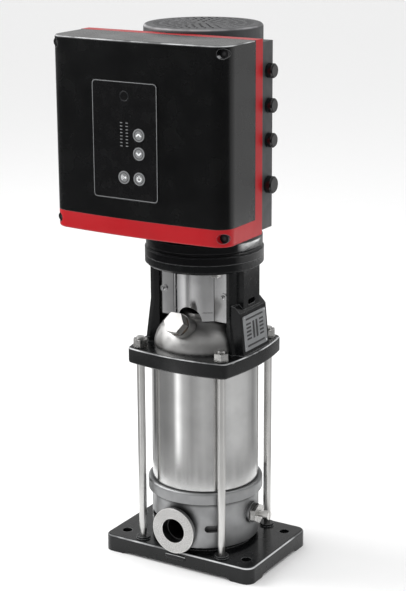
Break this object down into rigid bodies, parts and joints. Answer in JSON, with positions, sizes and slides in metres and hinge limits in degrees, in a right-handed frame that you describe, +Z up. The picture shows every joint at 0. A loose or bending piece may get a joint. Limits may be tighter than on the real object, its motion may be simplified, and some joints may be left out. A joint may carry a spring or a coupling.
{
  "type": "vertical multistage pump",
  "caption": "Vertical in-line multistage pump: stainless stack between stay bolts on a cast base, motor stool with guarded coupling, and a finned motor with a drive box.",
  "frame": {"origin": "centre of the base plate's four-hole pattern, on its underside, on the shaft's axis", "axes": "+Z up along the shaft; Y through the two ports, with the suction port and the control panel facing -Y; X along the base plate's long side"},
  "size_m": [0.2485, 0.2372, 0.684],
  "materials": {
    "black_cast": "glossy black enamel over cast iron",
    "steel_satin": "bead-blasted stainless casting",
    "steel_bright": "polished stainless sheet",
    "steel_bolt": "plain stainless fastener",
    "rubber_black": "matt black elastomer",
    "plastic_grey": "moulded grey composite",
    "bronze": "machined bearing bronze",
    "ceramic_dark": "lapped dark seal face",
    "motor_grey": "dark grey enamel on die-cast aluminium",
    "electrical_steel": "varnished lamination stack",
    "copper_winding": "varnished copper end windings",
    "cover_black": "semi-gloss black moulding",
    "frame_red": "glossy red moulding",
    "housing_grey": "dark grey powder coat",
    "panel_black": "smooth black panel foil",
    "button_grey": "soft-touch grey button",
    "light_dim": "unlit light guide",
    "board_green": "lacquered circuit board",
    "capacitor_can": "plain can",
    "plate_silver": "satin silver foil"
  },
  "bodies": {
    "pump": {"base_plate": "black_cast", "stay_bolts": "steel_bolt", "stay_bolt_washers": "steel_bolt", "stay_bolt_nuts": "steel_bolt", "base_casting": "steel_satin", "outer_sleeve": "steel_bright", "sleeve_gaskets": "rubber_black", "inlet_chamber": "steel_bright", "stage_chambers": "steel_bright", "outlet_chamber": "steel_bright", "stack_spring": "steel_bright", "bearing_bush": "bronze", "pump_head": "steel_satin", "seal_seat": "ceramic_dark", "motor_stool": "black_cast", "rating_plate": "plate_silver", "coupling_guard_front": "steel_bright", "coupling_guard_rear": "steel_bright", "guard_screws": "steel_bolt", "motor_flange": "black_cast", "bearing_outer_rings": "steel_bolt", "motor_bolts": "steel_bolt", "motor_housing": "motor_grey", "stator_core": "electrical_steel", "stator_windings": "copper_winding", "motor_end_shield": "motor_grey", "fan_cover": "housing_grey", "front_cover": "cover_black", "control_frame": "frame_red", "cover_gasket": "rubber_black", "cover_screws": "steel_bolt", "control_housing": "housing_grey", "blanking_plugs": "rubber_black", "control_panel": "panel_black", "status_ring": "light_dim", "circuit_boards": "board_green", "capacitors": "capacitor_can", "terminal_block": "plastic_grey"},
    "rotor": {"impellers": "steel_bright", "impeller_spacers": "steel_bolt", "impeller_nut": "steel_bolt", "pump_shaft": "steel_bolt", "seal_rotor": "ceramic_dark", "coupling_halves": "black_cast", "coupling_screws": "steel_bolt", "bearing_inner_rings": "steel_bolt", "rotor_core": "electrical_steel", "motor_shaft": "steel_bolt", "fan": "plastic_grey"},
    "vent_ring": {"vent_ring": "rubber_black"},
    "vent_plug": {"vent_plug": "steel_bright"},
    "drain_plug_group": {"drain_plug": "steel_bolt"},
    "bypass_spindle": {"bypass_spindle": "steel_bolt"},
    "button_up": {"button_up": "button_grey"},
    "button_down": {"button_down": "button_grey"},
    "button_remote": {"button_remote": "button_grey"},
    "button_power": {"button_power": "button_grey"}
  },
  "joints": [
    {"name": "shaft_spin", "type": "hinge", "parent": "pump", "child": "rotor", "pos_m": [0, 0, 0.104], "axis": [0, 0, 1], "continuous": true},
    {"name": "vent_rise", "type": "slide", "parent": "pump", "child": "vent_ring", "axis": [0, -0.8746, 0.4848], "range_m": [0, 0.00544]},
    {"name": "vent_turn", "type": "hinge", "parent": "vent_ring", "child": "vent_plug", "pos_m": [0, -0.044, 0.3101], "axis": [0, -0.8746, 0.4848], "range_deg": [0, 1080]},
    {"name": "spindle_turn", "type": "hinge", "parent": "drain_plug_group", "child": "bypass_spindle", "pos_m": [0.069, 0, 0.064], "axis": [1, 0, 0], "range_deg": [0, 270]},
    {"name": "drain_turn", "type": "hinge", "parent": "pump", "child": "drain_plug_group", "pos_m": [0.069, 0, 0.064], "axis": [1, 0, 0], "range_deg": [0, 300]},
    {"name": "press_up", "type": "slide", "parent": "pump", "child": "button_up", "axis": [0, 1, 0], "range_m": [0, 0.0007], "stiffness_N_per_m": 600},
    {"name": "press_down", "type": "slide", "parent": "pump", "child": "button_down", "axis": [0, 1, 0], "range_m": [0, 0.0007], "stiffness_N_per_m": 600},
    {"name": "press_remote", "type": "slide", "parent": "pump", "child": "button_remote", "axis": [0, 1, 0], "range_m": [0, 0.0007], "stiffness_N_per_m": 600},
    {"name": "press_power", "type": "slide", "parent": "pump", "child": "button_power", "axis": [0, 1, 0], "range_m": [0, 0.0007], "stiffness_N_per_m": 600}
  ],
  "couplings": [
    {"joint": "vent_turn", "follows": "vent_rise", "rad_per_m": 3463.7}
  ]
}
